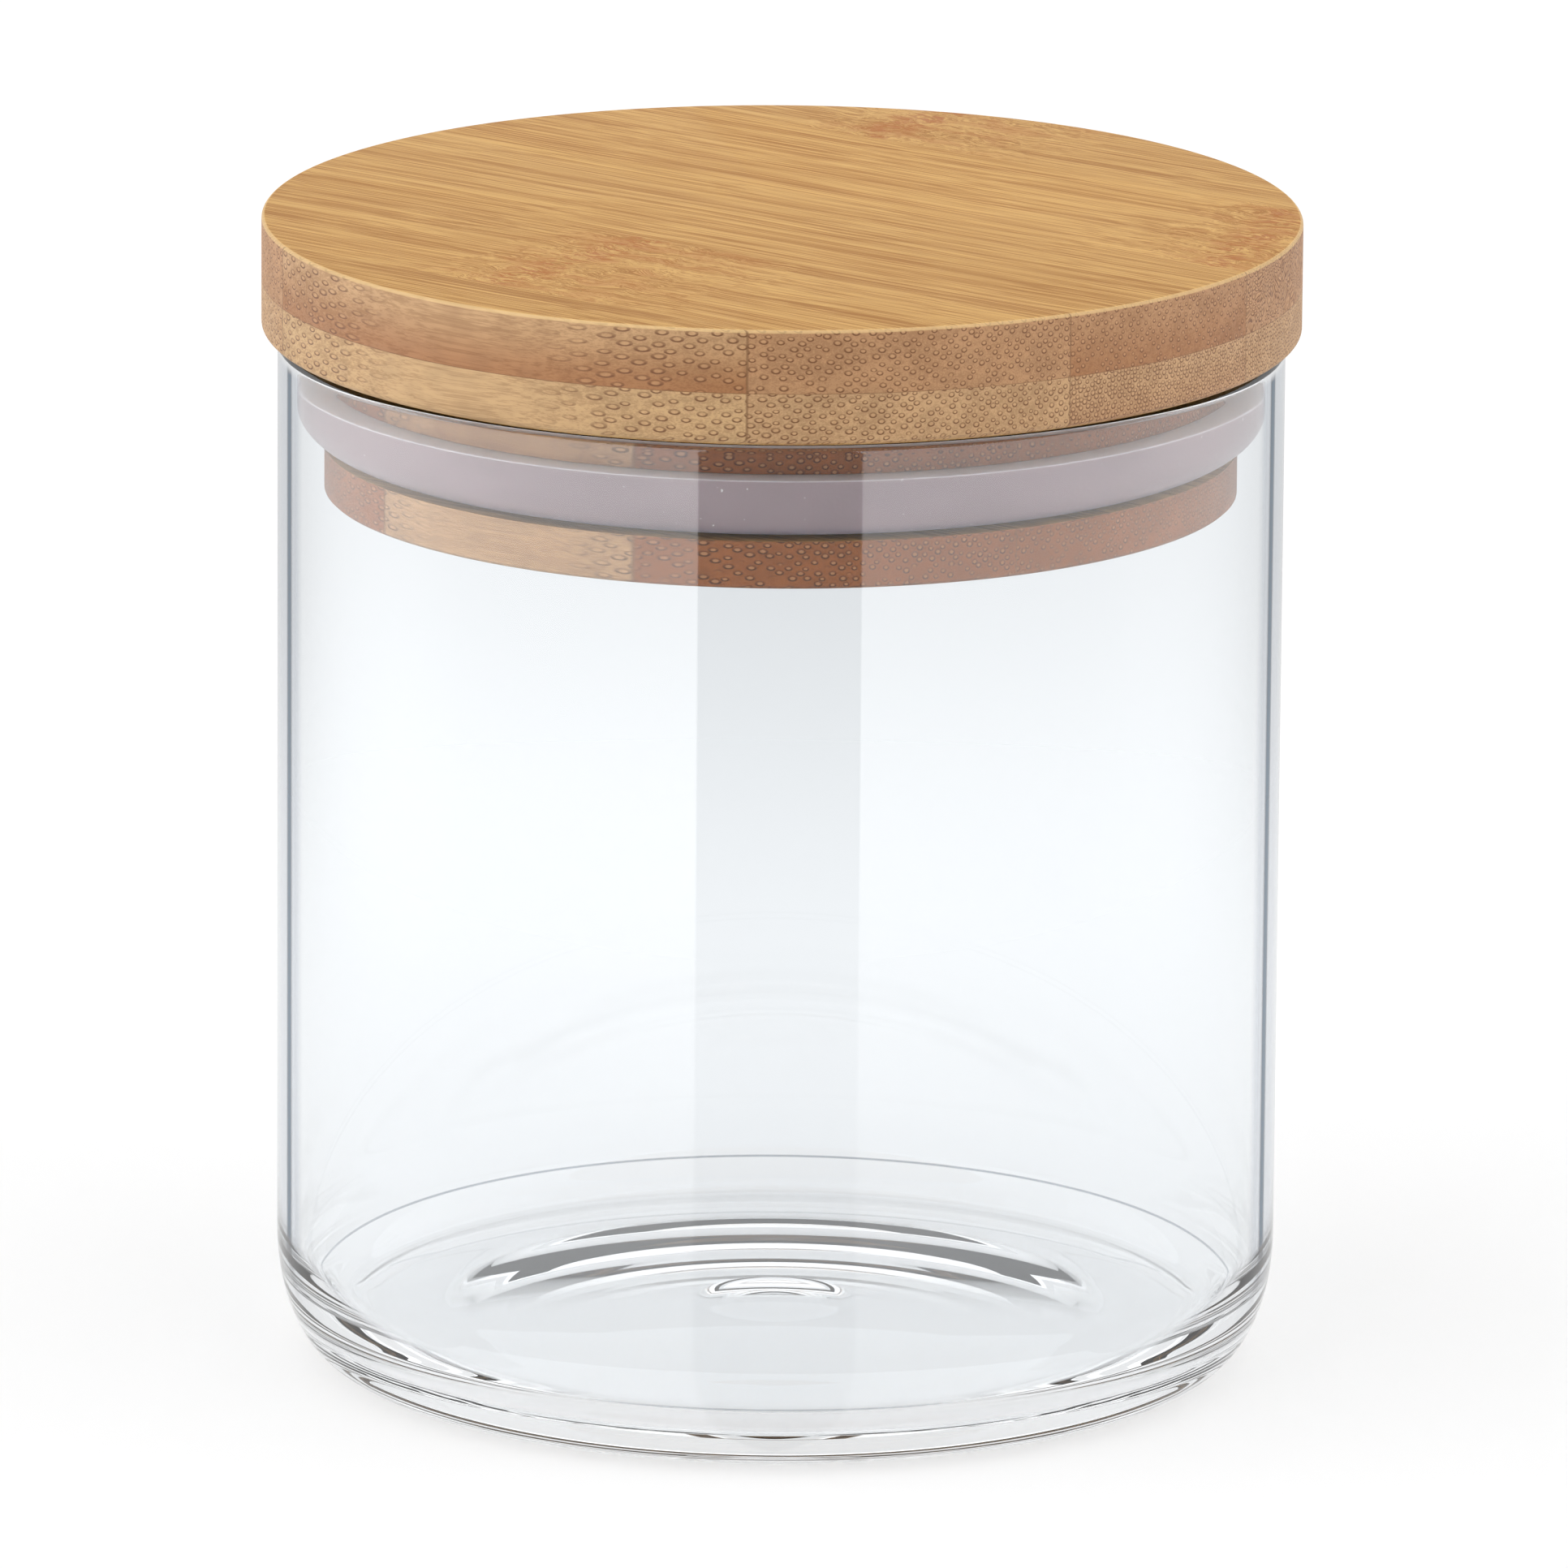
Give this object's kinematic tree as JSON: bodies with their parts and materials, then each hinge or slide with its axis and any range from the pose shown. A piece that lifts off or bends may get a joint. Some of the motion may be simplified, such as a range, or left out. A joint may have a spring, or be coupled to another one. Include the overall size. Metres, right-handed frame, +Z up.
{
  "type": "lidded glass canister",
  "caption": "Clear cylindrical glass storage jar with a laminated bamboo plug lid and a silicone sealing ring that grips the inside of the rim.",
  "frame": {"origin": "centre of the jar's resting plane: on the jar's axis, at the height of the foot ring", "axes": "+Z up along the jar's axis, towards the lid; the lid's bamboo grain runs 38 degrees clockwise from +X, seen from above"},
  "size_m": [0.1032, 0.1032, 0.1158],
  "materials": {
    "clear_glass": "clear colourless borosilicate glass, fire-polished rim",
    "silicone": "translucent milky silicone, satin",
    "bamboo_disc": "laminated caramel bamboo, fine sanded, thin satin oil",
    "bamboo_plug": "laminated caramel bamboo, darker, turned and left matt"
  },
  "bodies": {
    "jar": {"glass_jar": "clear_glass"},
    "seal": {"silicone_seal": "silicone"},
    "lid": {"top_layer_strip_1": "bamboo_disc", "top_layer_strip_2": "bamboo_disc", "top_layer_strip_3": "bamboo_disc", "top_layer_strip_4": "bamboo_disc", "top_layer_strip_5": "bamboo_disc", "second_layer_strip_1": "bamboo_disc", "second_layer_strip_2": "bamboo_disc", "second_layer_strip_3": "bamboo_disc", "second_layer_strip_4": "bamboo_disc", "second_layer_strip_5": "bamboo_disc", "third_layer_strip_1": "bamboo_plug", "third_layer_strip_2": "bamboo_plug", "third_layer_strip_3": "bamboo_plug", "third_layer_strip_4": "bamboo_plug", "third_layer_strip_5": "bamboo_plug", "bottom_layer_strip_1": "bamboo_plug", "bottom_layer_strip_2": "bamboo_plug", "bottom_layer_strip_3": "bamboo_plug", "bottom_layer_strip_4": "bamboo_plug", "bottom_layer_strip_5": "bamboo_plug"}
  },
  "joints": [
    {"name": "lid_lift", "type": "slide", "parent": "jar", "child": "seal", "axis": [0, 0, 1], "range_m": [0, 0.1]},
    {"name": "lid_turn", "type": "hinge", "parent": "seal", "child": "lid", "pos_m": [0, 0, 0.1], "axis": [0, 0, 1], "continuous": true}
  ]
}
